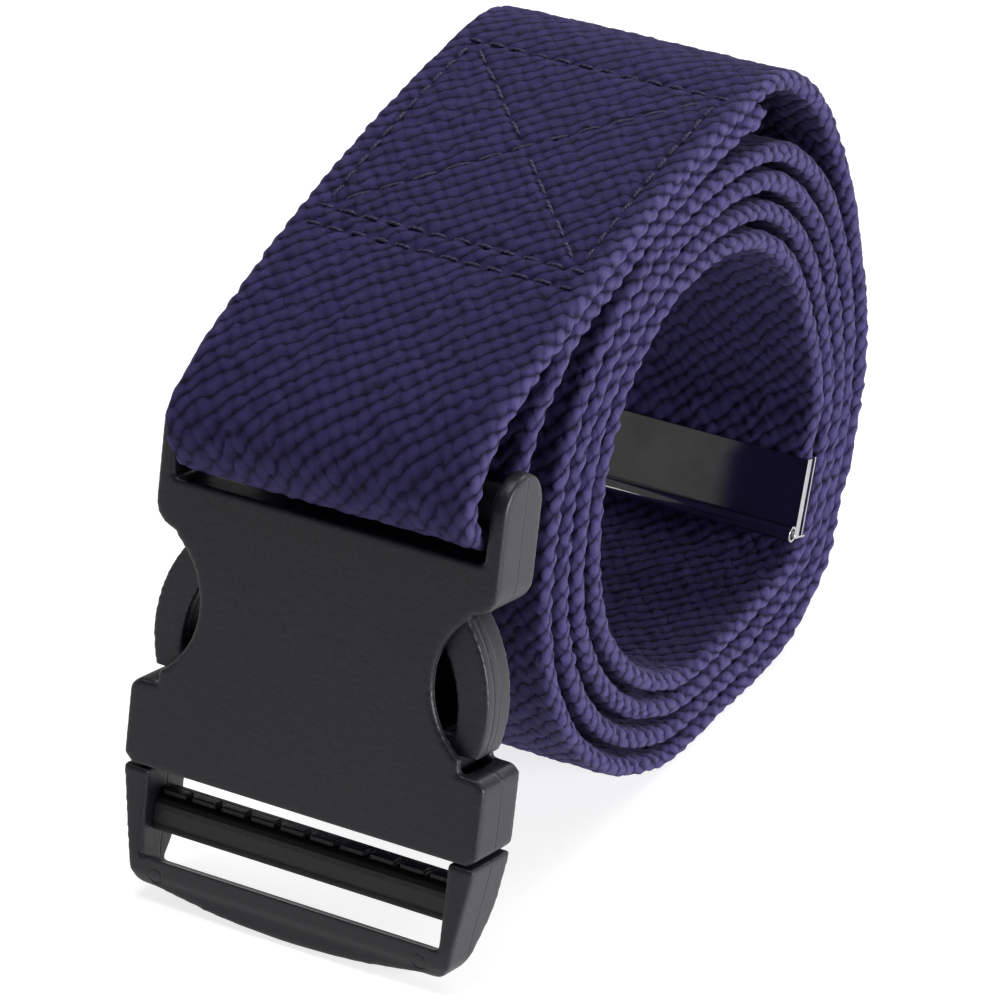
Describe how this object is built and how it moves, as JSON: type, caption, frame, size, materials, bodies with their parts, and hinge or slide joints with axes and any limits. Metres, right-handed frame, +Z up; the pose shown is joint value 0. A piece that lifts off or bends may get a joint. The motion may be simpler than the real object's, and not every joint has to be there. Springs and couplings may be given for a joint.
{
  "type": "gait belt",
  "caption": "Rolled webbing transfer belt standing on its edge, with a side-release buckle looped and sewn to one end and a folded metal tip on the other.",
  "frame": {"origin": "on the floor under the middle of the roll, halfway across the webbing", "axes": "+X across the webbing, +Y from the buckle towards the back of the roll, +Z up"},
  "size_m": [0.0596, 0.1362, 0.1045],
  "materials": {
    "webbing_navy": "coarse plain weave, matt",
    "thread_navy": "spun sewing thread",
    "buckle_black": "satin, fine grain",
    "tip_metal": "bright plated sheet"
  },
  "bodies": {
    "belt": {"webbing": "webbing_navy", "needle_thread": "thread_navy", "bobbin_thread": "thread_navy", "metal_tip": "tip_metal"},
    "socket": {"socket_shell": "buckle_black", "webbing_bar": "buckle_black"},
    "plug": {"plug_frame": "buckle_black", "toothed_bar": "buckle_black", "guide_tongue": "buckle_black"},
    "left_arm": {"left_latch_arm": "buckle_black"},
    "right_arm": {"right_latch_arm": "buckle_black"}
  },
  "joints": [
    {"name": "socket_swing", "type": "hinge", "parent": "belt", "child": "socket", "pos_m": [0, -0.0633, 0.0703], "axis": [-1, 0, 0], "range_deg": [-10, 26]},
    {"name": "plug_slide", "type": "slide", "parent": "socket", "child": "plug", "axis": [0, -0.2147, -0.9767], "range_m": [0, 0.04], "deforming": ["left_latch_arm", "right_latch_arm"]},
    {"name": "left_arm_squeeze", "type": "hinge", "parent": "plug", "child": "left_arm", "pos_m": [-0.022, -0.07361, 0.02342], "axis": [0, 0.9767, -0.2147], "range_deg": [0, 14], "stiffness_Nm_per_rad": 0.6},
    {"name": "right_arm_squeeze", "type": "hinge", "parent": "plug", "child": "right_arm", "pos_m": [0.022, -0.07361, 0.02342], "axis": [0, -0.9767, 0.2147], "range_deg": [0, 14], "stiffness_Nm_per_rad": 0.6}
  ]
}
